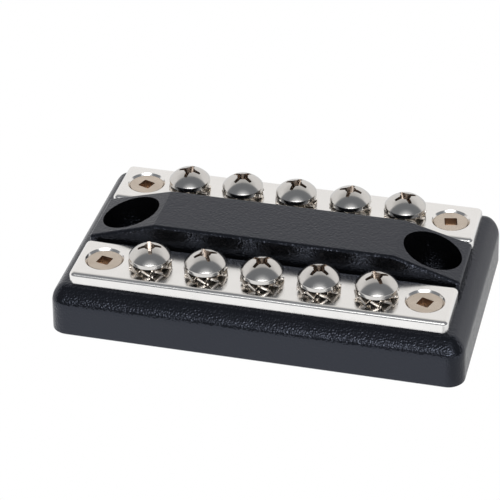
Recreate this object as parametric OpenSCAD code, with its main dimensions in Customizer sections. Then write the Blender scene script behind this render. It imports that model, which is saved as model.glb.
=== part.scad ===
// Dual row bus bar: a moulded base that carries two plated bars with screw terminals.
// Millimetres. The origin is the middle of the underside, +X along the bars,
// +Y towards the rear bar and +Z up.

/* [Terminals] */
// Terminal screws on each bar
terminal_count = 5; // [3:1:8]
// Distance between neighbouring terminal screws
terminal_pitch = 12.7; // [11.5:0.1:16]
// Distance between the front and the rear row of screws
row_spacing = 32.6; // [30:0.1:40]

/* [Bus plates] */
// Width of each plate
plate_w = 14.2; // [12.5:0.1:16]
// Thickness of each plate
plate_t = 2.7; // [2.2:0.1:4]
// Radius along the upper edges of a plate
plate_edge_r = 1.05; // [0.3:0.05:1.05]
// Radius of a plate's corners, seen from above
plate_corner_r = 1.3; // [1.1:0.05:2.5]
// From the axis of a fixing screw to the end of its plate
plate_end = 6.25; // [5:0.05:9]

/* [Base] */
// Height of the deck over the surface that the base is fixed to
deck_h = 11.8; // [10.5:0.1:16]
// Deck left free beyond the ends of the plates
end_margin = 4.2; // [4:0.1:9]
// Deck left free along the outer edges of the plates
side_margin = 3.5; // [3:0.1:9]
// Draft angle of the base's outer walls
base_draft = 1.7; // [0.5:0.1:2.5]
// Width of the rounded upper edge of the base, seen from above
base_edge_w = 3.4; // [2.6:0.1:3.4]
// Height of the rounded upper edge of the base
base_edge_h = 4.9; // [4.4:0.1:6]
// Radius where the rounded edge runs into the deck
base_edge_r = 2.4; // [1.6:0.1:2.5]
// Radius of the base's corners, seen from above
base_corner_r = 3.8; // [3.8:0.1:7]
// Bevel round the lower edge of the base
base_foot = 0.4; // [0.2:0.05:0.8]
// Thickness of the outer walls round the hollow underside
shell_t = 2.6; // [2:0.1:3.2]
// Thickness of the deck over the hollow underside
deck_t = 2.8; // [2:0.1:3.2]
// Thickness of the ribs in the underside
rib_t = 1.6; // [1.2:0.1:2.4]
// How far ribs and bosses stop short of the lower rim
rib_recess = 0.5; // [0.2:0.1:1.5]

/* [Ridge] */
// Height of the ridge over the plates
ridge_rise = 4.5; // [3:0.1:7]
// Length of each sloping end of the ridge, seen from above
ridge_slope_l = 15.1; // [12:0.1:17]
// Gap between the ridge and a plate, at the height of the plate's top
ridge_gap = 1.15; // [0.8:0.05:1.6]
// Draft angle of the ridge's side walls
ridge_draft = 6; // [3:0.5:8]
// Radius along the edges of the ridge
ridge_edge_r = 0.7; // [0.3:0.05:1]
// Thickness of the ridge's side walls
ridge_wall = 2.2; // [1.8:0.1:2.8]
// Thickness of the ridge's roof
ridge_roof_t = 2.5; // [1.8:0.1:3]
// Thickness of the webs below the ridge's side walls
web_t = 2.4; // [1.8:0.1:3]

/* [Mounting wells] */
// Diameter of each well
well_d = 13; // [11.5:0.1:13.4]
// From the axis of a well to the end of the ridge
well_end = 7.55; // [7:0.05:8.4]
// Thickness of the floor of a well
well_floor_t = 3.2; // [2.4:0.1:5]
// Diameter of the screw hole in the floor of a well
mount_hole_d = 5.5; // [4.3:0.1:6.5]
// Thickness of the wall round a well
well_wall = 1.8; // [1.4:0.1:2.2]

/* [Terminal screws] */
// Outside diameter of the thread
thread_d = 4.8; // [4:0.1:5]
// Radial clearance of the thread in its plate
thread_play = 0.08; // [0.05:0.01:0.15]
// Length of a terminal screw under its head
screw_l = 9.5; // [8:0.1:11]
// Bevel at the tip of a terminal screw
screw_tip = 0.5; // [0.3:0.05:0.8]
// Diameter of the head
head_d = 9.4; // [8.6:0.1:10]
// Height of the head
head_h = 3.45; // [3.1:0.05:4]
// Height of the straight band round the head
head_band_h = 0.95; // [0.7:0.05:1.3]
// Radius between the head's crown and its band
head_rim_r = 0.4; // [0.25:0.05:0.7]
// Bevel round the seat of the head
head_foot = 0.2; // [0.1:0.05:0.3]
// Width of the cross recess from wing to wing, at the height of the head's top
recess_span = 6.1; // [5:0.1:6.6]
// Width of the cross recess from wing to wing, at its floor
recess_floor = 2.6; // [2:0.1:3.2]
// Width of one wing of the cross recess
recess_w = 1.2; // [0.9:0.05:1.4]
// Depth of the cross recess
recess_depth = 2.3; // [1.8:0.05:2.5]
// Radius of the round middle of the cross recess
recess_eye_r = 1.3; // [1:0.05:1.5]
// Radial clearance round the thread in the base
thread_room = 0.5; // [0.3:0.05:0.8]
// Clearance below the tip of a screw that is driven home
tip_room = 0.8; // [0.4:0.1:1.5]
// Thickness of the sleeve and the floor round a screw in the base
boss_wall = 1.5; // [1.2:0.1:2]

/* [Lock washers] */
// Teeth on each washer
tooth_count = 10; // [8:1:12]
// Outside diameter over the teeth
washer_d = 9.6; // [9:0.1:11]
// Thickness of the washer's sheet
washer_t = 0.6; // [0.5:0.05:0.8]
// Width of the ring that carries the teeth
ring_w = 1.2; // [1:0.05:1.4]
// Width of one tooth
tooth_w = 2.1; // [1.8:0.05:2.4]
// Depth by which each tooth is rooted in the ring
tooth_root = 0.4; // [0.2:0.05:0.8]
// Twist of each tooth out of the ring's plane
tooth_twist = 33; // [30:1:48]
// Depth by which each tooth is blunted above and below
tooth_bite = 0.03; // [0.01:0.01:0.06]
// Radial clearance of a washer on the thread
washer_play = 0.12; // [0.08:0.01:0.2]
// Clearance between a washer and the head over it
head_play = 0.05; // [0.04:0.01:0.1]

/* [Fixing screws] */
// From the last terminal screw to the fixing screw
fixing_step = 10.6; // [9.9:0.1:14]
// Diameter of the flat head
fixing_head_d = 7.7; // [7.2:0.1:8.3]
// Diameter of the countersink's mouth in the plate
fixing_bore_d = 8.7; // [8.5:0.1:9.2]
// Depth of the head's face below the plate's top
fixing_sink = 0.35; // [0.2:0.05:1.2]
// Height of the straight band round the head
fixing_land = 0.3; // [0.2:0.05:0.5]
// Half of the head's countersink angle
fixing_cone = 41; // [35:1:45]
// Diameter of the shank
fixing_shank_d = 4; // [3.4:0.1:4.4]
// Overall length of a fixing screw
fixing_l = 10; // [8.5:0.1:11]
// Width of the square recess
square_w = 2.9; // [2.3:0.1:3.2]
// Depth of the square recess
square_depth = 1.7; // [1.2:0.1:2.2]
// Radial clearance of a fixing screw in the plate and the base
fixing_play = 0.06; // [0.04:0.01:0.12]

/* [Hidden] */
$fn = 64;
eps = 0.01;

ROWS = ["front", "rear"];
ENDS = ["left", "right"];
SIDES = [-1, 1];
ROW_TERMINALS = [for (i = [1 : terminal_count]) i];

// Angles at which the washers and the recesses came to rest
washer_turns = [[-14, -15, 3, 7, -11], [5, -12, 9, -4, 14]];
cross_turns = [[20, 32, 60, 60, 33], [-8, 60, -16, -6, 37]];
square_turns = [[-12, -20], [-20, 12]];

// Along the bars
fixing_x = (terminal_count - 1) / 2 * terminal_pitch + fixing_step;
plate_l = 2 * (fixing_x + plate_end);
base_l = plate_l + 2 * end_margin;
well_x = plate_l / 2 - well_end;

// Across the bars
row_y = row_spacing / 2;
base_w = row_spacing + plate_w + 2 * side_margin;

// Levels
plate_top = deck_h + plate_t;
ridge_top = plate_top + ridge_rise;
ceiling_z = deck_h - deck_t;

// Ridge
ridge_half_at_plate = row_y - plate_w / 2 - ridge_gap;
ridge_half_at_top = ridge_half_at_plate - ridge_rise * tan(ridge_draft);
ridge_room_half = ridge_half_at_top - ridge_wall;
ridge_room_half_l = well_x - well_d / 2 - well_wall;
web_out = ridge_room_half + web_t;

// Lock washer and terminal screw
washer_h = tooth_w * sin(tooth_twist) + washer_t * cos(tooth_twist) - 2 * tooth_bite;
ring_in = thread_d / 2 + washer_play;
ring_out = ring_in + ring_w;
head_seat = plate_top + washer_h + head_play;
tip_z = head_seat - screw_l;
pocket_r = thread_d / 2 + thread_room;
pocket_floor = tip_z - tip_room;

// Crown of the head: a sphere that runs on smoothly into the rim over the band
head_rim_x = head_d / 2 - head_rim_r;
crown_over_rim = head_h - head_band_h;
crown_sum = pow(head_rim_x, 2) + pow(crown_over_rim, 2) - pow(head_rim_r, 2);
crown_r = crown_sum / (2 * (crown_over_rim - head_rim_r));
crown_z = head_h - crown_r;
crown_turn = atan2(head_rim_x, head_band_h - crown_z);

// Countersink of the fixing screws, measured down from the head's face
fixing_face = plate_top - fixing_sink;
fixing_cone_h = (fixing_head_d - fixing_shank_d) / 2 / tan(fixing_cone);

function terminal_x(i) = (i - (terminal_count + 1) / 2) * terminal_pitch;
function rest_turn(turns, row, i) = turns[row][(i - 1) % len(turns[row])];
function screw_name(row, i) = str(ROWS[row], "_terminal_screw_", i);
function washer_name(row, i) = str(ROWS[row], "_lock_washer_", i);
function fixing_name(row, end) = str(ROWS[row], "_", ENDS[end], "_fixing_screw");

// Section through the rim of a plate, rounded above
module plate_rim() {
    flat_x = plate_corner_r - plate_edge_r;
    flat_z = plate_t - plate_edge_r;
    square([plate_corner_r, flat_z]);
    translate([0, flat_z])
        square([flat_x, plate_edge_r]);
    translate([flat_x, flat_z])
        intersection() {
            circle(plate_edge_r);
            square(plate_edge_r);
        }
}

// Section through the rim of the base: bevelled below, drafted, and rounded above by two arcs
// that run smoothly into each other
module base_rim() {
    wall_z = deck_h - base_edge_h;
    wall_x = base_corner_r - (wall_z - base_foot) * tan(base_draft);
    inner = [wall_x - base_edge_w, deck_h - base_edge_r];
    squares = pow(base_edge_w, 2) + pow(base_edge_h, 2);
    wall_r = (squares - 2 * base_edge_h * base_edge_r) / (2 * (base_edge_w - base_edge_r));
    seam = [wall_r - base_edge_w, base_edge_h - base_edge_r] / (wall_r - base_edge_r);
    far = 2 * base_edge_h;
    polygon([
        [0, 0],
        [base_corner_r - base_foot, 0],
        [base_corner_r, base_foot],
        [wall_x, wall_z],
        [inner[0], wall_z],
        [0, wall_z]
    ]);
    polygon([[0, wall_z], [inner[0], wall_z], inner, [inner[0], deck_h], [0, deck_h]]);
    intersection() {
        translate([wall_x - wall_r, wall_z])
            circle(wall_r);
        polygon([[inner[0], wall_z], [inner[0] + far, wall_z], inner + far * seam, inner]);
    }
    intersection() {
        translate(inner)
            circle(base_edge_r);
        polygon([inner, inner + far * seam, inner + [0, far]]);
    }
}

// Straight stretch of a rim along +X, its outside towards -Y
module straight_rim(l) {
    rotate([90, 0, -90])
        translate([0, 0, -l / 2])
            linear_extrude(l)
                children();
}

// Slab that stands on z = 0, with the given section round its rim
module rimmed_slab(l, w, h, corner_r) {
    core_l = l - 2 * corner_r;
    core_w = w - 2 * corner_r;
    translate([-core_l / 2, -core_w / 2, 0])
        cube([core_l, core_w, h]);
    for (turn = [0, 180])
        rotate(turn) {
            translate([0, -core_w / 2, 0])
                straight_rim(core_l)
                    children();
            rotate(90)
                translate([0, -core_l / 2, 0])
                    straight_rim(core_w)
                        children();
            translate([core_l / 2, core_w / 2, 0])
                rotate_extrude(angle = 90)
                    children();
            translate([-core_l / 2, core_w / 2, 0])
                rotate(90)
                    rotate_extrude(angle = 90)
                        children();
        }
}

// Ridge between the plates, from inside the deck to its flat top
module ridge() {
    inset = ridge_edge_r / cos(ridge_draft);
    slope = atan2(ridge_rise, ridge_slope_l);
    top_z = ridge_top - ridge_edge_r;
    end_x = plate_l / 2 - ridge_edge_r;
    flat_x = plate_l / 2 - ridge_slope_l - ridge_edge_r * tan(slope / 2);
    end_z = top_z - (end_x - flat_x) * tan(slope);
    root_z = deck_h - deck_t / 2;
    corners = [[flat_x, top_z], [end_x, end_z], [end_x, root_z]];
    hull()
        for (p = corners, sx = SIDES, sy = SIDES)
            translate([sx * p[0], sy * (ridge_half(p[1]) - inset), p[1]])
                sphere(ridge_edge_r, $fn = 24);
}

function ridge_half(z) = ridge_half_at_top + (ridge_top - z) * tan(ridge_draft);

// Hollow below one plate, with its rib and its bosses left standing
module side_hollow(sy) {
    hollow_l = base_l - 2 * shell_t;
    hollow_w = base_w / 2 - shell_t - web_out;
    difference() {
        translate([-hollow_l / 2, sy > 0 ? web_out : -web_out - hollow_w, -eps])
            cube([hollow_l, hollow_w, ceiling_z + eps]);
        translate([-hollow_l / 2 - eps, sy * row_y - rib_t / 2, rib_recess])
            cube([hollow_l + 2 * eps, rib_t, ceiling_z]);
        for (i = ROW_TERMINALS)
            translate([terminal_x(i), sy * row_y, pocket_floor - boss_wall])
                cylinder(r = pocket_r + boss_wall, h = deck_h);
        for (sx = SIDES)
            translate([sx * fixing_x, sy * row_y, rib_recess])
                cylinder(r = fixing_shank_d / 2 + boss_wall, h = deck_h);
        for (sx = SIDES)
            translate([sx * well_x, 0, -2 * eps])
                cylinder(r = well_d / 2 + well_wall, h = deck_h);
    }
}

// Hollow inside the ridge, on one side of its middle rib
module ridge_hollow(sy) {
    hollow_w = ridge_room_half - rib_t / 2;
    translate([-ridge_room_half_l, sy > 0 ? rib_t / 2 : -rib_t / 2 - hollow_w, -eps])
        cube([2 * ridge_room_half_l, hollow_w, ridge_top - ridge_roof_t + eps]);
}

// Well for a mounting screw, with the screw's hole in its floor
module mounting_well() {
    translate([0, 0, well_floor_t])
        cylinder(d = well_d, h = ridge_top);
    translate([0, 0, -eps])
        cylinder(d = mount_hole_d, h = ridge_top);
}

// Outline of a fixing screw, grown sideways, with the head's face at z = 0; an open one flares above it
module fixing_outline(grow, open = false) {
    head_r = fixing_head_d / 2 + grow;
    shank_r = fixing_shank_d / 2 + grow;
    mouth_h = fixing_sink + eps;
    mouth_r = head_r + (fixing_bore_d / 2 - head_r) * mouth_h / fixing_sink;
    above = open ? [[0, mouth_h], [mouth_r, mouth_h], [head_r, 0]] : [[0, 0], [head_r, 0]];
    below = [
        [head_r, -fixing_land],
        [shank_r, -fixing_land - fixing_cone_h],
        [shank_r, -fixing_l],
        [0, -fixing_l]
    ];
    rotate_extrude()
        polygon(concat(above, below));
}

module base() {
    color("#2b2d32")
        difference() {
            union() {
                rimmed_slab(base_l, base_w, deck_h, base_corner_r)
                    base_rim();
                ridge();
            }
            for (sy = SIDES) {
                side_hollow(sy);
                ridge_hollow(sy);
            }
            for (sx = SIDES)
                translate([sx * well_x, 0, 0])
                    mounting_well();
            for (i = ROW_TERMINALS, sy = SIDES)
                translate([terminal_x(i), sy * row_y, pocket_floor])
                    cylinder(r = pocket_r, h = deck_h);
            for (sx = SIDES, sy = SIDES)
                translate([sx * fixing_x, sy * row_y, fixing_face])
                    fixing_outline(fixing_play);
        }
}

module bus_plate(sy) {
    color("#dfe2e5")
        difference() {
            translate([0, sy * row_y, deck_h])
                rimmed_slab(plate_l, plate_w, plate_t, plate_corner_r)
                    plate_rim();
            for (i = ROW_TERMINALS)
                translate([terminal_x(i), sy * row_y, deck_h - eps])
                    cylinder(r = thread_d / 2 + thread_play, h = plate_t + 2 * eps);
            for (sx = SIDES)
                translate([sx * fixing_x, sy * row_y, fixing_face])
                    fixing_outline(fixing_play, open = true);
        }
}

// Half section of a terminal screw, with the seat of its head at y = 0
module screw_section() {
    seam = [sin(crown_turn), cos(crown_turn)];
    rim = [head_rim_x, head_band_h];
    far = 2 * head_rim_r;
    intersection() {
        translate([0, crown_z])
            circle(crown_r);
        polygon([[0, head_band_h], rim, rim + head_h * seam, [0, 2 * head_h]]);
    }
    intersection() {
        translate(rim)
            circle(head_rim_r);
        polygon([rim, rim + [far, 0], rim + far * seam]);
    }
    polygon([
        [0, -screw_l],
        [thread_d / 2 - screw_tip, -screw_l],
        [thread_d / 2, screw_tip - screw_l],
        [thread_d / 2, 0],
        [head_d / 2 - head_foot, 0],
        [head_d / 2, head_foot],
        [head_d / 2, head_band_h],
        rim,
        [0, head_band_h]
    ]);
}

// Cross recess, cut down from the top of the head
module cross_recess() {
    floor_z = head_h - recess_depth;
    for (turn = [0, 90])
        rotate([90, 0, turn])
            linear_extrude(recess_w, center = true)
                polygon([
                    [-recess_floor / 2, floor_z],
                    [recess_floor / 2, floor_z],
                    [recess_span / 2, head_h],
                    [recess_span / 2, 2 * head_h],
                    [-recess_span / 2, 2 * head_h],
                    [-recess_span / 2, head_h]
                ]);
    translate([0, 0, floor_z])
        cylinder(r1 = recess_w / 2, r2 = recess_eye_r, h = recess_depth + eps);
}

module terminal_screw(row, i) {
    color("#c9c3b8")
        translate([terminal_x(i), SIDES[row] * row_y, head_seat])
            rotate(rest_turn(cross_turns, row, i))
                difference() {
                    rotate_extrude()
                        screw_section();
                    cross_recess();
                }
}

// One twisted tooth that points along +X
module washer_tooth() {
    root_r = ring_out - tooth_root;
    translate([root_r, 0, washer_h / 2])
        rotate([90, 0, 90])
            linear_extrude(washer_d / 2 - root_r)
                intersection() {
                    rotate(-tooth_twist)
                        square([tooth_w, washer_t], center = true);
                    square([2 * tooth_w, washer_h], center = true);
                }
}

module lock_washer(row, i) {
    color("#b9bcc0")
        translate([terminal_x(i), SIDES[row] * row_y, plate_top]) {
            translate([0, 0, (washer_h - washer_t) / 2])
                difference() {
                    cylinder(r = ring_out, h = washer_t);
                    translate([0, 0, -eps])
                        cylinder(r = ring_in, h = washer_t + 2 * eps);
                }
            for (k = [1 : tooth_count])
                rotate(rest_turn(washer_turns, row, i) + k * 360 / tooth_count)
                    washer_tooth();
        }
}

module fixing_screw(row, end) {
    color("#cbbfb0")
        translate([SIDES[end] * fixing_x, SIDES[row] * row_y, fixing_face])
            rotate(square_turns[row][end])
                difference() {
                    fixing_outline(0);
                    translate([-square_w / 2, -square_w / 2, -square_depth])
                        cube([square_w, square_w, 2 * square_depth]);
                }
}

base();
for (row = [0, 1]) {
    bus_plate(SIDES[row]);
    for (i = ROW_TERMINALS) {
        terminal_screw(row, i);
        lock_washer(row, i);
    }
    for (end = [0, 1])
        fixing_screw(row, end);
}
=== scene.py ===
"""Looks of the dual row bus bar: a moulded base, two plated bars, screws and toothed washers."""

import math

import bmesh
import bpy
from mathutils import Matrix, Vector


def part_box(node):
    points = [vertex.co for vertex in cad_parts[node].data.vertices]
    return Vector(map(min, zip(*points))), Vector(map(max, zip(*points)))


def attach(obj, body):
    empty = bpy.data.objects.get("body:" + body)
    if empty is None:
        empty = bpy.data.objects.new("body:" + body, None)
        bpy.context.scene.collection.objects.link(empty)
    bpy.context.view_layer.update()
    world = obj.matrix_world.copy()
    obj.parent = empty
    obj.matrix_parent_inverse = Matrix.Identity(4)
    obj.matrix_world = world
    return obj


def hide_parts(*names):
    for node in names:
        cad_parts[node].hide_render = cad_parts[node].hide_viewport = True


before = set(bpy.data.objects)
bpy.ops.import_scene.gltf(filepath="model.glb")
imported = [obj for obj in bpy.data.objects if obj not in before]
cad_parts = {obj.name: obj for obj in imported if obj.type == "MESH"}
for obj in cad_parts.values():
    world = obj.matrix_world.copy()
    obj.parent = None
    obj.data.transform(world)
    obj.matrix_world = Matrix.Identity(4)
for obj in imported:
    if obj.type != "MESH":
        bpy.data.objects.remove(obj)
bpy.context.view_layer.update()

MM = 0.001
TURN = 2 * math.pi
UP = Vector((0, 0, 1))

# Nodes, grouped by what they are
SCREWS = sorted(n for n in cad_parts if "_terminal_screw_" in n)
WASHERS = sorted(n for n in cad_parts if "_lock_washer_" in n)
FIXINGS = sorted(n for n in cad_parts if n.endswith("_fixing_screw"))
PLATES = sorted(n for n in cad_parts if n.endswith("_bus_plate"))
ENDS = ("left", "right")

# Camera, fitted to the picture
CAMERA_PLACE = (95.614 * MM, -385.900 * MM, 278.293 * MM)
CAMERA_AZIMUTH = math.radians(14.883)
CAMERA_ELEVATION = math.radians(33.840)
CAMERA_ROLL = math.radians(-1.070)
CAMERA_LENS = 153.18

# Floor
FLOOR_SIZE = 6
FLOOR_COLOUR = (0.9, 0.9, 0.9)
FLOOR_ROUGHNESS = 0.9

# Shade on the floor, as the part mirrors it: how light it is to the right of the part and behind it,
# and where it starts and stops to the right and starts behind
SHADE_BESIDE = 0.6
SHADE_BEHIND = 0.8
SHADE_START = (42 * MM, 47 * MM)
SHADE_STOP = (55 * MM, 90 * MM)
SHADE_BACK = (30 * MM, 80 * MM)

# Surround: a pale wall that leans over the part from behind and darkens upwards,
# and a dim room in front
WALL_LEAN = math.radians(13)
WALL_EDGE = (-0.05, 0.05)
WALL_LOW = (0.86, 0.845, 0.83)
WALL_HIGH = (0.52, 0.51, 0.495)
WALL_FADE = (0.55, 0.97)
ROOM = (0.2, 0.208, 0.22)
BLACK = (0, 0, 0)
WHITE = (1, 1, 1)

# Soft light and tube over the camera: elevation in degrees, half width, half height, power,
# and how steeply they fall off to the rim
LIGHTS = (
    (36, 0.65, 0.6, 1.1, 1.5),
    (37, 0.55, 0.09, 9.0, 1.0),
)

# Noise: the range in which most of it lies, and how much finer its fine patches are
NOISE_RANGE = (0.3, 0.7)
FINER = 6.0

# Metals: two shades, range of roughness, scale of the patches and strength of their waves
METALS = {
    "bright_plate": ((0.93, 0.92, 0.905), (0.9, 0.89, 0.875), (0.13, 0.22), 60, 0.1),
    "polished_nickel": ((0.7, 0.685, 0.665), (0.66, 0.645, 0.625), (0.14, 0.2), 250, 0.05),
    # The recess nickel is darker than the head's: painted shade in the cross recesses.
    "broached_nickel": ((0.56, 0.5, 0.45), (0.44, 0.38, 0.33), (0.2, 0.32), 500, 0.15),
    "washer_nickel": ((0.97, 0.94, 0.91), (0.86, 0.76, 0.64), (0.22, 0.38), 700, 0.1),
    "satin_nickel": ((0.66, 0.58, 0.5), (0.58, 0.5, 0.42), (0.24, 0.34), 300, 0.1),
    # The socket metal is darker and browner: painted shade in the square sockets.
    "browned_socket": ((0.6, 0.48, 0.38), (0.46, 0.35, 0.27), (0.26, 0.4), 500, 0.2),
}
METAL_FINE_SHARE = 0.35
METAL_WAVE = 0.02 * MM

# Sheared sides of a plate: how far their normals turn upwards, how much rougher they are,
# and the upward facings over which both fade out
SIDE_LEAN = math.tan(math.radians(8))
SIDE_ROUGHER = 0.08
SIDE_BLEND = (0.02, 0.2)

# Plastic
PLASTIC_SHADES = ((0.0035, 0.0036, 0.004), (0.0055, 0.0057, 0.0065))
PLASTIC_ROUGHNESS = (0.13, 0.18)
PLASTIC_SPECULAR = 0.64
PLASTIC_TINT = (0.72, 0.79, 1.0)
PLASTIC_PATCHES = 160
PLASTIC_FINE_SHARE = 0.3
GRAIN_SCALE = 2500
GRAIN_DEPTH = 0.085 * MM

# Rounded edge of the base: how far its normals turn upwards,
# and the upward facings over which that fades in and out
EDGE_LEAN = 0.35
EDGE_LEAN_START = (0.12, 0.3)
EDGE_LEAN_STOP = (0.5, 0.85)

# Angles in degrees at which the washers and the recesses came to rest, from left to right
WASHER_TURNS = {"front": (-14, -15, 3, 7, -11), "rear": (5, -12, 9, -4, 14)}
CROSS_TURNS = {"front": (20, 32, 60, 60, 33), "rear": (-8, 60, -16, -6, 37)}
SQUARE_TURNS = {"front": (-12, -20), "rear": (-20, 12)}

# Modelling: what counts as one point in a drawn outline and in a finished piece,
# how far tools overshoot, the steps of a full turn, and the sharpest edge that is shaded smooth
DRAWN_MERGE = 0.0001 * MM
NEAR = 0.001 * MM
CUT_OVER = 0.1 * MM
LATHE_STEPS = 96
SMOOTH_ANGLE = math.radians(35)

# Bus plates
PLATE_EDGE_R = 1.05 * MM
PLATE_EDGE_STEPS = 10
PLATE_CORNER_R = 1.3 * MM
PLATE_CORNER_STEPS = 12
TAPPED_R = 2.48 * MM
TAPPED_LIP = 0.3 * MM
COUNTERSINK_R = 4.35 * MM

# Terminal screws
SCREW_L = 9.5 * MM
SCREW_TIP = 0.5 * MM
SCREW_STEPS = 128
HEAD_R = 4.7 * MM
HEAD_H = 3.45 * MM
HEAD_BAND_H = 0.95 * MM
HEAD_CROWN_STEPS = 20
HEAD_RIM_R = 0.4 * MM
HEAD_RIM_STEPS = 6
HEAD_FOOT = 0.2 * MM
THREAD_R = 2.4 * MM
THREAD_PITCH = 25.4 / 32 * MM
THREAD_DEPTH = 0.46 * MM
THREAD_FREE = 0.9 * MM
THREAD_STEPS = 64
GROOVE_HALF = 0.42 * THREAD_PITCH
GROOVE_OVER = 0.05 * MM
RECESS_ARMS = 4
RECESS_SPAN = 6.1 * MM
RECESS_FLOOR = 2.6 * MM
RECESS_W = 1.2 * MM
RECESS_DEPTH = 2.3 * MM
RECESS_NARROWER = 0.8
RECESS_TAPER = 0.6
RECESS_EYE_R = 1.3 * MM
RECESS_EYE_OVER = 0.01 * MM
RECESS_EYE_STEPS = 48

# Lock washers; the teeth are a little thinner than the ring,
# so that no two faces coincide when they are joined
WASHER_R = 4.8 * MM
WASHER_T = 0.6 * MM
WASHER_STEPS = 80
RING_IN = 2.52 * MM
RING_OUT = 3.72 * MM
TOOTH_COUNT = 10
TOOTH_ROOT = 0.45 * MM
TOOTH_W = 2.1 * MM
TOOTH_T = 0.58 * MM
TOOTH_TWIST = math.radians(33)
TOOTH_TWISTED_STEPS = 4
TOOTH_STEPS = 6
TOOTH_EDGE = 0.11 * MM
TOOTH_EDGE_STEPS = 2
TOOTH_EDGE_ANGLE = math.radians(50)

# Fixing screws
FIXING_HEAD_R = 3.85 * MM
FIXING_LIP = 0.1 * MM
FIXING_LAND = 0.3 * MM
FIXING_CONE_H = 2.128 * MM
FIXING_SHANK_R = 2.0 * MM
FIXING_L = 10.0 * MM
FIXING_TIP = 0.2 * MM
FIXING_SINK = 0.35 * MM
FIXING_PLAY = 0.06 * MM
SQUARE_W = 2.9 * MM
SQUARE_DEPTH = 1.7 * MM
SQUARE_TAPER = 0.88
SQUARE_CORNER_R = 0.25 * MM
SQUARE_CORNER_STEPS = 4


# Modelling helpers


def activate(piece):
    """Make a piece the only selected and active one."""
    bpy.ops.object.select_all(action="DESELECT")
    piece.select_set(True)
    bpy.context.view_layer.objects.active = piece


def start_point(name):
    """A new piece in edit mode with a single vertex at the origin."""
    bpy.ops.object.select_all(action="DESELECT")
    bpy.ops.mesh.primitive_plane_add(size=MM)
    piece = bpy.context.active_object
    piece.name = name
    bpy.ops.object.mode_set(mode="EDIT")
    bpy.ops.mesh.select_mode(type="VERT")
    bpy.ops.mesh.select_all(action="SELECT")
    bpy.ops.mesh.merge(type="CENTER")
    return piece


def draw_outline(points):
    """Move the selected vertex to the first (radius, height) point and extrude it along the rest."""
    last = (0, 0)
    for k, (r, z) in enumerate(points):
        step = (r - last[0], 0, z - last[1])
        if k == 0:
            bpy.ops.transform.translate(value=step)
        else:
            bpy.ops.mesh.extrude_region_move(TRANSFORM_OT_translate={"value": step})
        last = (r, z)


def close_up(merge=DRAWN_MERGE):
    """Merge doubles, turn the faces outwards and leave edit mode."""
    bpy.ops.mesh.select_all(action="SELECT")
    bpy.ops.mesh.remove_doubles(threshold=merge)
    bpy.ops.mesh.normals_make_consistent(inside=False)
    bpy.ops.object.mode_set(mode="OBJECT")


def lathe(name, outline, steps=LATHE_STEPS):
    """Turn an outline of (radius, height) points round the Z axis."""
    piece = start_point(name)
    draw_outline(outline)
    bpy.ops.mesh.select_all(action="SELECT")
    bpy.ops.mesh.spin(steps=steps, angle=TURN, center=(0, 0, 0), axis=UP)
    close_up()
    return piece


def arc(centre, radius, start, end, steps):
    """Points on an arc in the (radius, height) plane; angles run from the Z axis outwards."""
    angles = [start + (end - start) * k / steps for k in range(steps + 1)]
    return [(centre[0] + radius * math.sin(a), centre[1] + radius * math.cos(a)) for a in angles]


def block(name, low, high):
    """A plain box between two corners."""
    bpy.ops.object.select_all(action="DESELECT")
    middle = (Vector(low) + Vector(high)) / 2
    bpy.ops.mesh.primitive_cube_add(size=1, location=middle, scale=Vector(high) - Vector(low))
    piece = bpy.context.active_object
    piece.name = name
    bpy.ops.object.transform_apply(location=True, rotation=True, scale=True)
    return piece


def select_edges(piece, wanted):
    """In edit mode, select the edges for which wanted(a, b) holds, and the faces that they enclose."""
    activate(piece)
    bpy.ops.object.mode_set(mode="EDIT")
    bpy.ops.mesh.select_mode(type="EDGE")
    bpy.ops.mesh.select_all(action="DESELECT")
    shape = bmesh.from_edit_mesh(piece.data)
    for edge in shape.edges:
        edge.select_set(wanted(edge.verts[0].co, edge.verts[1].co))
    for face in shape.faces:
        if all(edge.select for edge in face.edges):
            face.select_set(True)
    bmesh.update_edit_mesh(piece.data)


def round_edges(piece, wanted, radius, steps):
    """Round the edges that wanted() picks."""
    select_edges(piece, wanted)
    bpy.ops.mesh.bevel(offset=radius, segments=steps, affect="EDGES")
    bpy.ops.mesh.select_mode(type="VERT")
    bpy.ops.object.mode_set(mode="OBJECT")


def resize_edges(piece, wanted, **how):
    """Resize the edges that wanted() picks."""
    select_edges(piece, wanted)
    bpy.ops.transform.resize(**how)
    bpy.ops.object.mode_set(mode="OBJECT")


def carve(piece, tool, operation="DIFFERENCE", skin=None):
    """Cut a tool out of a piece, or join it on, and remove the tool; a skin covers the cut faces."""
    activate(piece)
    cut = piece.modifiers.new("carve", "BOOLEAN")
    cut.operation = operation
    cut.object = tool
    cut.solver = "EXACT"
    if skin:
        tool.data.materials.append(skin)
        cut.material_mode = "TRANSFER"
    bpy.ops.object.modifier_apply(modifier=cut.name)
    bpy.data.objects.remove(tool)


def move(piece, place, turn=0.0):
    """Turn a piece about its Z axis, put it in its place and leave its object at the origin."""
    piece.data.transform(Matrix.Translation(place) @ Matrix.Rotation(turn, 4, "Z"))


def twin(piece, name):
    """A copy of a piece with a mesh of its own."""
    made = piece.copy()
    made.data = piece.data.copy()
    made.name = name
    bpy.context.scene.collection.objects.link(made)
    return made


def smooth(piece):
    """Merge what the cuts left too close to see, and shade smooth between the creases."""
    activate(piece)
    bpy.ops.object.mode_set(mode="EDIT")
    close_up(NEAR)
    bpy.ops.object.shade_smooth_by_angle(angle=SMOOTH_ANGLE)
    even = piece.modifiers.new("even", "WEIGHTED_NORMAL")
    even.keep_sharp = True
    bpy.ops.object.modifier_apply(modifier=even.name)


def dress(piece, node, body):
    """Let a finished piece stand for a CAD node."""
    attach(piece, body)
    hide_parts(node)


# Material helpers


def new_material(name):
    """A node material and its Principled shader."""
    material = bpy.data.materials.new(name)
    material.use_nodes = True
    return material, material.node_tree.nodes["Principled BSDF"]


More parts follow.
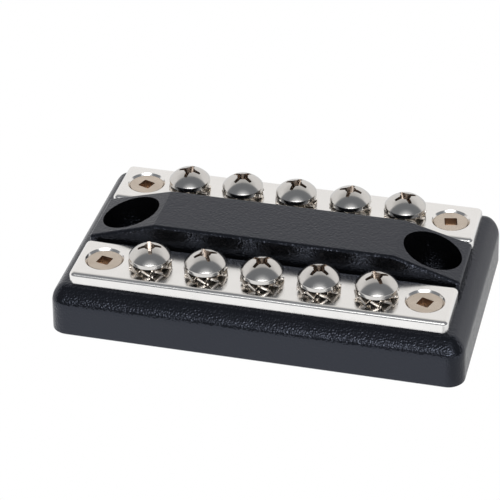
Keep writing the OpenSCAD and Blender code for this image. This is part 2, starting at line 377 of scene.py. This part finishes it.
def add(tree, kind, **values):
    """A node with its properties and inputs set by name."""
    node = tree.nodes.new(kind)
    for key, value in values.items():
        if key in node.inputs:
            node.inputs[key].default_value = value
        else:
            setattr(node, key, value)
    return node


def link(tree, source, target):
    """Connect two sockets."""
    tree.links.new(source, target)


def feed(tree, value, socket):
    """Link a socket to another one, or set it to a value."""
    if isinstance(value, bpy.types.NodeSocket):
        link(tree, value, socket)
    else:
        socket.default_value = value


def math_of(tree, operation, *values):
    """Values, set or linked, put through a math node."""
    node = add(tree, "ShaderNodeMath", operation=operation)
    for value, socket in zip(values, node.inputs):
        feed(tree, value, socket)
    return node.outputs["Value"]


def vector_of(tree, operation, *values, output="Vector"):
    """Vectors, set or linked, put through a vector math node."""
    node = add(tree, "ShaderNodeVectorMath", operation=operation)
    for value, socket in zip(values, node.inputs):
        feed(tree, value, socket)
    return node.outputs[output]


def joined(tree, **axes):
    """A vector from linked values for some of its axes."""
    node = tree.nodes.new("ShaderNodeCombineXYZ")
    for axis, value in axes.items():
        link(tree, value, node.inputs[axis])
    return node.outputs["Vector"]


def split(tree, vector):
    """The three values of a linked vector, by axis."""
    node = tree.nodes.new("ShaderNodeSeparateXYZ")
    link(tree, vector, node.inputs["Vector"])
    return node.outputs


def between(tree, value, low, high, span=NOISE_RANGE):
    """A linked value carried over from a span to the range from low to high, and held at its ends."""
    node = tree.nodes.new("ShaderNodeMapRange")
    node.inputs["From Min"].default_value, node.inputs["From Max"].default_value = span
    node.inputs["To Min"].default_value, node.inputs["To Max"].default_value = low, high
    link(tree, value, node.inputs["Value"])
    return node.outputs["Result"]


def tint(tree, value, first, second):
    """A colour between two others, set or linked, by a linked value from 0 to 1."""
    node = add(tree, "ShaderNodeMix", data_type="RGBA")
    sockets = [s for s in node.inputs if s.type == "RGBA"]
    for colour, socket in zip((first, second), sockets):
        feed(tree, (*colour, 1) if isinstance(colour, tuple) else colour, socket)
    link(tree, value, node.inputs["Factor"])
    return next(s for s in node.outputs if s.type == "RGBA")


def group_of(name, inputs, outputs):
    """An empty node group with named value inputs and outputs."""
    tree = bpy.data.node_groups.new(name, "ShaderNodeTree")
    for title, default in inputs:
        socket = tree.interface.new_socket(title, in_out="INPUT", socket_type="NodeSocketFloat")
        socket.default_value = default
    for title in outputs:
        tree.interface.new_socket(title, in_out="OUTPUT", socket_type="NodeSocketFloat")
    return tree, tree.nodes.new("NodeGroupInput"), tree.nodes.new("NodeGroupOutput")


def clouding_group():
    """Soft uneven patches, such as handling leaves on metal and moulding leaves on plastic."""
    tree, given, result = group_of("clouding", [("Scale", 200.0), ("Fine Share", 0.35)], ["Patches"])
    where = tree.nodes.new("ShaderNodeTexCoord")
    broad = add(tree, "ShaderNodeTexNoise", Detail=3.0, Roughness=0.55)
    finer = add(tree, "ShaderNodeTexNoise", Detail=2.0, Roughness=0.6)
    mixed = add(tree, "ShaderNodeMix", data_type="FLOAT")
    link(tree, where.outputs["Object"], broad.inputs["Vector"])
    link(tree, where.outputs["Object"], finer.inputs["Vector"])
    link(tree, given.outputs["Scale"], broad.inputs["Scale"])
    link(tree, math_of(tree, "MULTIPLY", given.outputs["Scale"], FINER), finer.inputs["Scale"])
    link(tree, given.outputs["Fine Share"], mixed.inputs["Factor"])
    link(tree, broad.outputs["Fac"], mixed.inputs["A"])
    link(tree, finer.outputs["Fac"], mixed.inputs["B"])
    link(tree, mixed.outputs["Result"], result.inputs["Patches"])
    return tree


CLOUDING = clouding_group()


def clouding(tree, scale, fine_share):
    """The clouding group placed in a material."""
    node = add(tree, "ShaderNodeGroup", node_tree=CLOUDING)
    node.inputs["Scale"].default_value = scale
    node.inputs["Fine Share"].default_value = fine_share
    return node.outputs["Patches"]


def facing(tree):
    """The surface's own normal, and how far it points upwards."""
    normal = tree.nodes.new("ShaderNodeNewGeometry").outputs["Normal"]
    return normal, split(tree, normal)["Z"]


def lean_back(tree, normal, amount):
    """A normal turned upwards by a linked amount."""
    return vector_of(tree, "NORMALIZE", vector_of(tree, "ADD", normal, joined(tree, Z=amount)))


def relief(tree, shader, height, depth, strength=1.0, normal=None):
    """Bumps on a shader, over the surface's own normal or a linked one."""
    bump = add(tree, "ShaderNodeBump", Strength=strength, Distance=depth)
    link(tree, height, bump.inputs["Height"])
    if normal:
        link(tree, normal, bump.inputs["Normal"])
    link(tree, bump.outputs["Normal"], shader.inputs["Normal"])


def metal(name, sheared=False):
    """A plated metal with faint waves; sheared sides are rougher and lean back a little."""
    material, shader = new_material(name)
    tree = material.node_tree
    first, second, roughness, scale, waves = METALS[name]
    patches = clouding(tree, scale, METAL_FINE_SHARE)
    rough, normal = between(tree, patches, *roughness), None
    if sheared:
        own, upward = facing(tree)
        side = math_of(tree, "ABSOLUTE", upward)
        rough = math_of(tree, "ADD", rough, between(tree, side, SIDE_ROUGHER, 0, SIDE_BLEND))
        normal = lean_back(tree, own, between(tree, side, SIDE_LEAN, 0, SIDE_BLEND))
    shader.inputs["Metallic"].default_value = 1.0
    link(tree, tint(tree, between(tree, patches, 0, 1), first, second), shader.inputs["Base Color"])
    link(tree, rough, shader.inputs["Roughness"])
    relief(tree, shader, patches, METAL_WAVE, waves, normal)
    return material


def black_plastic():
    """Black moulded plastic with a fine grain; its rounded edge leans back in its shading."""
    material, shader = new_material("black_moulded_plastic")
    tree = material.node_tree
    patches = clouding(tree, PLASTIC_PATCHES, PLASTIC_FINE_SHARE)
    link(tree, tint(tree, between(tree, patches, 0, 1), *PLASTIC_SHADES), shader.inputs["Base Color"])
    link(tree, between(tree, patches, *PLASTIC_ROUGHNESS), shader.inputs["Roughness"])
    shader.inputs["Specular IOR Level"].default_value = PLASTIC_SPECULAR
    shader.inputs["Specular Tint"].default_value = (*PLASTIC_TINT, 1)
    where = tree.nodes.new("ShaderNodeTexCoord")
    grain = add(tree, "ShaderNodeTexNoise", Scale=GRAIN_SCALE, Detail=0.0)
    link(tree, where.outputs["Object"], grain.inputs["Vector"])
    own, upward = facing(tree)
    more = between(tree, upward, 0, EDGE_LEAN, EDGE_LEAN_START)
    less = between(tree, upward, EDGE_LEAN, 0, EDGE_LEAN_STOP)
    normal = lean_back(tree, own, math_of(tree, "MINIMUM", more, less))
    relief(tree, shader, grain.outputs["Fac"], GRAIN_DEPTH, normal=normal)
    return material


# Stage


def set_floor():
    """A pale floor that the camera sees as white, and that the part mirrors with some shade on it."""
    bpy.ops.object.select_all(action="DESELECT")
    bpy.ops.mesh.primitive_plane_add(size=FLOOR_SIZE)
    floor = bpy.context.active_object
    floor.name = "floor"
    material, shader = new_material("pale_floor")
    tree = material.node_tree
    shader.inputs["Base Color"].default_value = (*FLOOR_COLOUR, 1)
    shader.inputs["Roughness"].default_value = FLOOR_ROUGHNESS
    place = split(tree, tree.nodes.new("ShaderNodeTexCoord").outputs["Object"])
    near = between(tree, place["X"], 1, SHADE_BESIDE, SHADE_START)
    far = between(tree, place["X"], SHADE_BESIDE, 1, SHADE_STOP)
    behind = between(tree, place["Y"], 1, SHADE_BEHIND, SHADE_BACK)
    shade = math_of(tree, "MINIMUM", math_of(tree, "MAXIMUM", near, far), behind)
    path = tree.nodes.new("ShaderNodeLightPath").outputs
    white = tree.nodes.new("ShaderNodeEmission")
    mixed = tree.nodes.new("ShaderNodeMixShader")
    link(tree, math_of(tree, "MAXIMUM", path["Is Camera Ray"], shade), white.inputs["Strength"])
    seen = math_of(tree, "MAXIMUM", path["Is Camera Ray"], path["Is Glossy Ray"])
    link(tree, seen, mixed.inputs["Fac"])
    link(tree, shader.outputs["BSDF"], mixed.inputs[1])
    link(tree, white.outputs["Emission"], mixed.inputs[2])
    link(tree, mixed.outputs["Shader"], tree.nodes["Material Output"].inputs["Surface"])
    floor.data.materials.append(material)


def along(tree, direction):
    """How far a ray of the surround points along a direction."""
    ray = tree.nodes.new("ShaderNodeTexCoord").outputs["Generated"]
    return vector_of(tree, "DOT_PRODUCT", ray, direction, output="Value")


def set_surround():
    """A pale wall behind, a dim room in front, and a soft light and a tube over the camera."""
    world = bpy.data.worlds.new("surround")
    world.use_nodes = True
    bpy.context.scene.world = world
    tree = world.node_tree
    ahead = Vector((-math.sin(CAMERA_AZIMUTH), math.cos(CAMERA_AZIMUTH), 0))
    across = Vector((math.cos(CAMERA_AZIMUTH), math.sin(CAMERA_AZIMUTH), 0))
    facing_wall = ahead * math.cos(WALL_LEAN) - UP * math.sin(WALL_LEAN)
    wall = between(tree, along(tree, facing_wall), 0, 1, WALL_EDGE)
    paper = tint(tree, between(tree, along(tree, UP), 0, 1, WALL_FADE), WALL_LOW, WALL_HIGH)
    total = tint(tree, wall, ROOM, paper)
    for elevation, width, height, power, fall in LIGHTS:
        angle = math.radians(elevation)
        rise = ahead * math.sin(angle) + UP * math.cos(angle)
        spread = joined(tree, X=along(tree, across / width), Y=along(tree, rise / height))
        reach = vector_of(tree, "LENGTH", spread, output="Value")
        glow = math_of(tree, "POWER", between(tree, reach, 1, 0, (0, 1)), fall)
        total = vector_of(tree, "ADD", total, tint(tree, glow, BLACK, (power, power, power)))
    path = tree.nodes.new("ShaderNodeLightPath").outputs
    shown = tint(tree, path["Is Camera Ray"], total, WHITE)
    link(tree, shown, tree.nodes["Background"].inputs["Color"])


def set_camera():
    """The camera of the picture."""
    scene = bpy.context.scene
    scene.view_settings.view_transform = "Standard"
    camera_data = bpy.data.cameras.new("camera")
    camera_data.lens = CAMERA_LENS
    camera = bpy.data.objects.new("camera", camera_data)
    scene.collection.objects.link(camera)
    camera.matrix_world = (
        Matrix.Translation(CAMERA_PLACE)
        @ Matrix.Rotation(CAMERA_AZIMUTH, 4, "Z")
        @ Matrix.Rotation(math.pi / 2 - CAMERA_ELEVATION, 4, "X")
        @ Matrix.Rotation(CAMERA_ROLL, 4, "Z")
    )
    scene.camera = camera


# Pieces


def make_thread_groove():
    """Helical V groove that cuts the thread."""
    out_r = THREAD_R + GROOVE_OVER
    start = -SCREW_L - THREAD_PITCH
    tool = start_point("thread_groove")
    draw_outline([
        (THREAD_R - THREAD_DEPTH, start),
        (out_r, start + GROOVE_HALF),
        (out_r, start - GROOVE_HALF),
    ])
    bpy.ops.mesh.select_all(action="SELECT")
    bpy.ops.mesh.edge_face_add()
    bpy.ops.mesh.delete(type="ONLY_FACE")
    bpy.ops.object.mode_set(mode="OBJECT")
    helix = tool.modifiers.new("helix", "SCREW")
    helix.axis = "Z"
    helix.angle = TURN
    helix.screw_offset = THREAD_PITCH
    helix.iterations = int((SCREW_L - THREAD_FREE) / THREAD_PITCH) + 1
    helix.steps = THREAD_STEPS
    helix.render_steps = THREAD_STEPS
    bpy.ops.object.modifier_apply(modifier=helix.name)
    bpy.ops.object.mode_set(mode="EDIT")
    bpy.ops.mesh.select_all(action="SELECT")
    bpy.ops.mesh.remove_doubles(threshold=DRAWN_MERGE)
    bpy.ops.mesh.fill_holes(sides=0)
    close_up()
    return tool


def make_cross_tools():
    """Four tapered arms and a cone that cut the cross recess."""
    floor_z = HEAD_H - RECESS_DEPTH
    shrink = (RECESS_FLOOR / RECESS_SPAN, RECESS_NARROWER, 1)
    tools = []
    for k in range(RECESS_ARMS):
        arm = block("arm", (0, -RECESS_W / 2, floor_z), (RECESS_SPAN / 2, RECESS_W / 2, HEAD_H))
        resize_edges(
            arm,
            lambda a, b: max(a.z, b.z) < floor_z + NEAR,
            value=shrink,
            center_override=(0, 0, floor_z),
        )
        resize_edges(
            arm,
            lambda a, b: min(a.x, b.x) > NEAR,
            value=(1, RECESS_TAPER, 1),
            center_override=(0, 0, 0),
        )
        move(arm, (0, 0, 0), TURN * k / RECESS_ARMS)
        tools.append(arm)
    top = HEAD_H + RECESS_EYE_OVER
    eye = [(0, floor_z), (RECESS_W / 2, floor_z), (RECESS_EYE_R, top), (0, top)]
    tools.append(lathe("eye", eye, RECESS_EYE_STEPS))
    return tools


def make_terminal_screw(skin, recess_shade_skin):
    """Pan head screw with a cross recess and a cut thread; its seat is at z = 0."""
    rim_x = HEAD_R - HEAD_RIM_R
    over_rim = HEAD_H - HEAD_BAND_H
    crown_r = (rim_x**2 + over_rim**2 - HEAD_RIM_R**2) / (2 * (over_rim - HEAD_RIM_R))
    seam = math.atan2(rim_x, HEAD_BAND_H - HEAD_H + crown_r)
    crown = arc((0, HEAD_H - crown_r), crown_r, 0, seam, HEAD_CROWN_STEPS)
    rim = arc((rim_x, HEAD_BAND_H), HEAD_RIM_R, seam, math.pi / 2, HEAD_RIM_STEPS)
    rest = [
        (HEAD_R, HEAD_FOOT),
        (HEAD_R - HEAD_FOOT, 0),
        (THREAD_R, 0),
        (THREAD_R, SCREW_TIP - SCREW_L),
        (THREAD_R - SCREW_TIP, -SCREW_L),
        (0, -SCREW_L),
    ]
    piece = lathe("terminal_screw", crown + rim[1:] + rest, SCREW_STEPS)
    piece.data.materials.append(skin)
    carve(piece, make_thread_groove())
    # The recess faces get the recess skin, whose darker shades are painted shade.
    for tool in make_cross_tools():
        carve(piece, tool, skin=recess_shade_skin)
    smooth(piece)
    return piece


def make_tooth():
    """One washer tooth along +X that twists out of the sheet towards its tip."""
    start = RING_OUT - TOOTH_ROOT
    step = (WASHER_R - start) / (TOOTH_STEPS + 1)
    twist = TOOTH_TWIST / TOOTH_TWISTED_STEPS
    half_w, half_t = TOOTH_W / 2, TOOTH_T / 2
    tooth = block("tooth", (start, -half_w, -half_t), (start + step, half_w, half_t))
    select_edges(tooth, lambda a, b: min(a.x, b.x) > start + step / 2)
    for k in range(TOOTH_STEPS):
        bpy.ops.mesh.extrude_region_move(TRANSFORM_OT_translate={"value": (step, 0, 0)})
        if k < TOOTH_TWISTED_STEPS:
            bpy.ops.transform.rotate(value=twist, orient_axis="X", center_override=(0, 0, 0))
    close_up()
    edge = tooth.modifiers.new("edge", "BEVEL")
    edge.width = TOOTH_EDGE
    edge.segments = TOOTH_EDGE_STEPS
    edge.limit_method = "ANGLE"
    edge.angle_limit = TOOTH_EDGE_ANGLE
    bpy.ops.object.modifier_apply(modifier=edge.name)
    return tooth


def make_lock_washer(skin):
    """External tooth washer: a flat ring with twisted teeth; its middle plane is at z = 0."""
    half = WASHER_T / 2
    inner, outer = RING_IN + TOOTH_EDGE, RING_OUT - TOOTH_EDGE
    low, high = TOOTH_EDGE - half, half - TOOTH_EDGE
    ring = [
        (RING_IN, low),
        (RING_IN, high),
        (inner, half),
        (outer, half),
        (RING_OUT, high),
        (RING_OUT, low),
        (outer, -half),
        (inner, -half),
        (RING_IN, low),
    ]
    piece = lathe("lock_washer", ring, WASHER_STEPS)
    piece.data.materials.append(skin)
    for k in range(TOOTH_COUNT):
        tooth = make_tooth()
        move(tooth, (0, 0, 0), TURN * k / TOOTH_COUNT)
        carve(piece, tooth, "UNION")
    smooth(piece)
    return piece


def make_fixing_screw(skin, recess_shade_skin):
    """Flat head screw with a square recess; its face is at z = 0."""
    piece = lathe("fixing_screw", [
        (0, 0),
        (FIXING_HEAD_R - FIXING_LIP, 0),
        (FIXING_HEAD_R, -FIXING_LIP),
        (FIXING_HEAD_R, -FIXING_LAND),
        (FIXING_SHANK_R, -FIXING_LAND - FIXING_CONE_H),
        (FIXING_SHANK_R, FIXING_TIP - FIXING_L),
        (FIXING_SHANK_R - FIXING_TIP, -FIXING_L),
        (0, -FIXING_L),
    ])
    piece.data.materials.append(skin)
    half = SQUARE_W / 2
    socket = block("socket", (-half, -half, -SQUARE_DEPTH), (half, half, CUT_OVER))
    resize_edges(
        socket,
        lambda a, b: max(a.z, b.z) < -SQUARE_DEPTH + NEAR,
        value=(SQUARE_TAPER, SQUARE_TAPER, 1),
    )
    round_edges(
        socket,
        lambda a, b: abs(a.z - b.z) > SQUARE_DEPTH,
        SQUARE_CORNER_R,
        SQUARE_CORNER_STEPS,
    )
    # The socket faces get the recess skin, whose darker shades are painted shade.
    carve(piece, socket, skin=recess_shade_skin)
    smooth(piece)
    return piece


def middle_of(node):
    """Middle of a CAD node, seen from above."""
    low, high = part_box(node)
    return (low.x + high.x) / 2, (low.y + high.y) / 2


def make_plate(node, skin):
    """Plate with rounded corners and edges, holes for the terminal screws and countersinks."""
    low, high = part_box(node)
    row = node.split("_")[0]
    piece = block(node + "_milled", low, high)
    piece.data.materials.append(skin)
    round_edges(piece, lambda a, b: abs(a.z - b.z) > NEAR, PLATE_CORNER_R, PLATE_CORNER_STEPS)
    round_edges(piece, lambda a, b: min(a.z, b.z) > high.z - NEAR, PLATE_EDGE_R, PLATE_EDGE_STEPS)
    bottom = low.z - high.z - CUT_OVER
    tapped = [
        (0, CUT_OVER),
        (TAPPED_R + TAPPED_LIP + CUT_OVER, CUT_OVER),
        (TAPPED_R, -TAPPED_LIP),
        (TAPPED_R, bottom),
        (0, bottom),
    ]
    head_r = FIXING_HEAD_R + FIXING_PLAY
    seat = -FIXING_SINK - FIXING_LAND
    flare = (head_r - COUNTERSINK_R) / seat
    sunk = [
        (0, CUT_OVER),
        (COUNTERSINK_R + flare * CUT_OVER, CUT_OVER),
        (head_r, seat),
        (FIXING_SHANK_R + FIXING_PLAY, seat - FIXING_CONE_H),
        (0, seat - FIXING_CONE_H),
    ]
    for group, outline in ((SCREWS, tapped), (FIXINGS, sunk)):
        for other in group:
            if other.startswith(row):
                tool = lathe("tool", outline)
                move(tool, (*middle_of(other), high.z))
                carve(piece, tool)
    smooth(piece)
    return piece


def seat_of_screw(low, high):
    """Height at which a terminal screw's head sits."""
    return low.z + SCREW_L


def middle_of_washer(low, high):
    """Height of a washer's middle plane."""
    return (low.z + high.z) / 2


def face_of_fixing(low, high):
    """Height of a fixing screw's face."""
    return high.z


def place_copies(model, nodes, ending, level, turns):
    """A copy of a model for each of its nodes, at its level and turned as it came to rest."""
    for node in nodes:
        row, *_, last = node.split("_")
        number = int(last) - 1 if last.isdigit() else ENDS.index(node.split("_")[1])
        piece = twin(model, node + ending)
        move(piece, (*middle_of(node), level(*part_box(node))), math.radians(turns[row][number]))
        body = node if last.isdigit() else "base"
        dress(piece, node, body)
    bpy.data.objects.remove(model)


set_floor()
set_surround()
set_camera()

plated = metal("bright_plate", sheared=True)
nickel = metal("polished_nickel")
# Darker nickel for the cross recesses, as painted shade.
recess_shaded = metal("broached_nickel")
toothed = metal("washer_nickel")
satin = metal("satin_nickel")
# Darker, browner metal for the square sockets, as painted shade.
socket_shaded = metal("browned_socket")
skins = {
    "base": black_plastic(),
    **dict.fromkeys(PLATES, plated),
    **dict.fromkeys(SCREWS, nickel),
    **dict.fromkeys(WASHERS, toothed),
    **dict.fromkeys(FIXINGS, satin),
}
for node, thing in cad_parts.items():
    thing.data.materials.clear()
    thing.data.materials.append(skins[node])

screw = make_terminal_screw(nickel, recess_shaded)
washer = make_lock_washer(toothed)
fixing = make_fixing_screw(satin, socket_shaded)
place_copies(screw, SCREWS, "_turned", seat_of_screw, CROSS_TURNS)
place_copies(washer, WASHERS, "_stamped", middle_of_washer, WASHER_TURNS)
place_copies(fixing, FIXINGS, "_turned", face_of_fixing, SQUARE_TURNS)
for node in PLATES:
    dress(make_plate(node, plated), node, "base")
